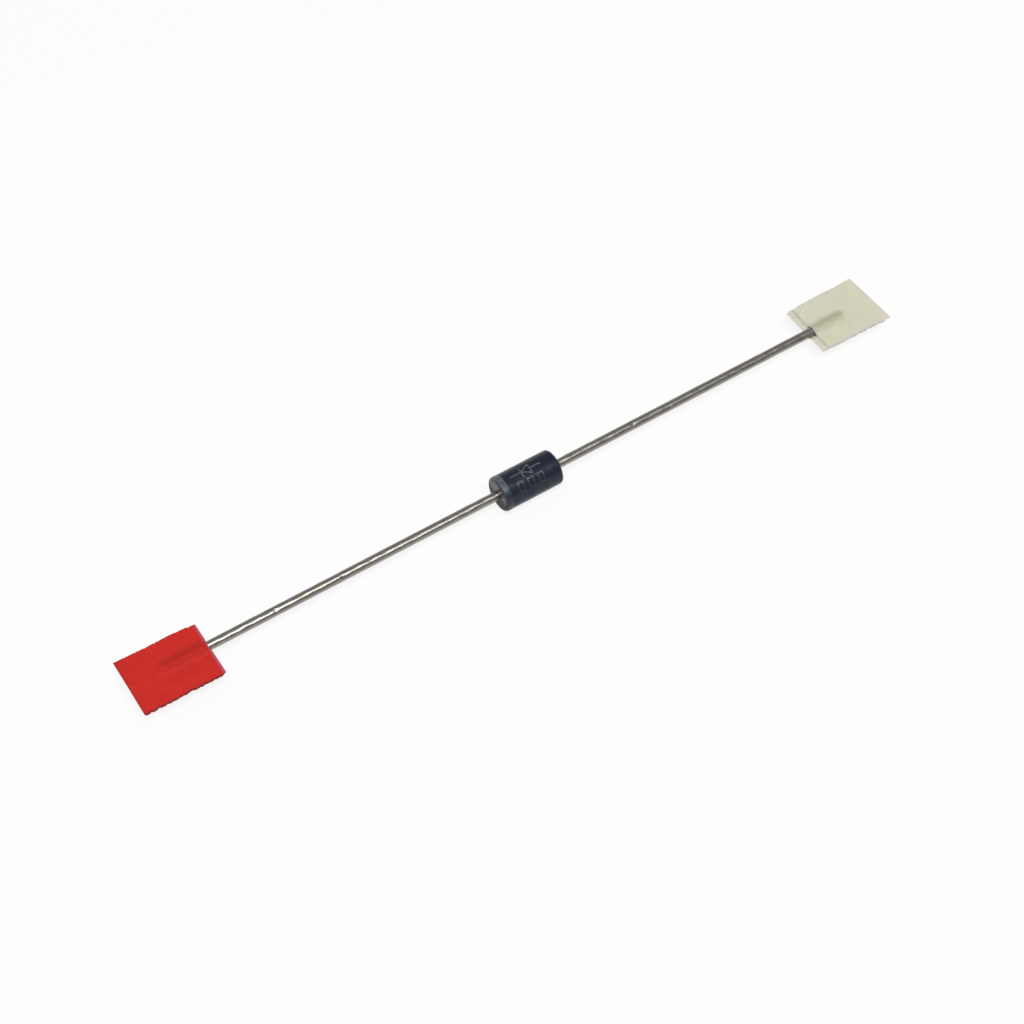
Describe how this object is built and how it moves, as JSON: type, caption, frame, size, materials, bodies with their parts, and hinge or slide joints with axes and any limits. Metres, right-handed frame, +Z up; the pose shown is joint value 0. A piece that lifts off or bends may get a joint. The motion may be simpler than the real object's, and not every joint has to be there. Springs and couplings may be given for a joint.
{
  "type": "axial rectifier diode",
  "caption": "Moulded axial rectifier diode with a polarity band and straight tinned leads, cut from its reel with a red tape on the cathode lead and a white tape on the anode lead.",
  "frame": {"origin": "middle of the moulded body, on the axis of the leads", "axes": "+X along the leads from the cathode and its red tape to the anode and its white tape, +Y across the tapes, +Z up from the tapes' flat faces"},
  "size_m": [0.064, 0.0054, 0.0028],
  "materials": {
    "moulding_compound": "semi-gloss dark navy epoxy moulding compound",
    "marking_ink": "thin satin silver-grey marking ink",
    "tinned_lead": "bright tin plating on drawn copper wire, with fine draw lines",
    "silicon": "polished grey silicon",
    "solder": "dull soft solder",
    "silicone_coating": "soft white silicone",
    "red_base_paper": "red crepe paper tape, matt, adhesive side up",
    "red_paper": "red crepe paper tape, matt",
    "white_base_paper": "off-white crepe paper tape, matt, adhesive side up",
    "white_paper": "off-white crepe paper tape, matt"
  },
  "bodies": {
    "root": {"moulded_body": "moulding_compound", "polarity_band": "marking_ink", "cathode_lead": "tinned_lead", "anode_lead": "tinned_lead", "silicon_die": "silicon", "cathode_solder": "solder", "anode_solder": "solder", "junction_coating": "silicone_coating", "red_base_tape": "red_base_paper", "red_top_tape": "red_paper", "white_base_tape": "white_base_paper", "white_top_tape": "white_paper"}
  },
  "joints": []
}
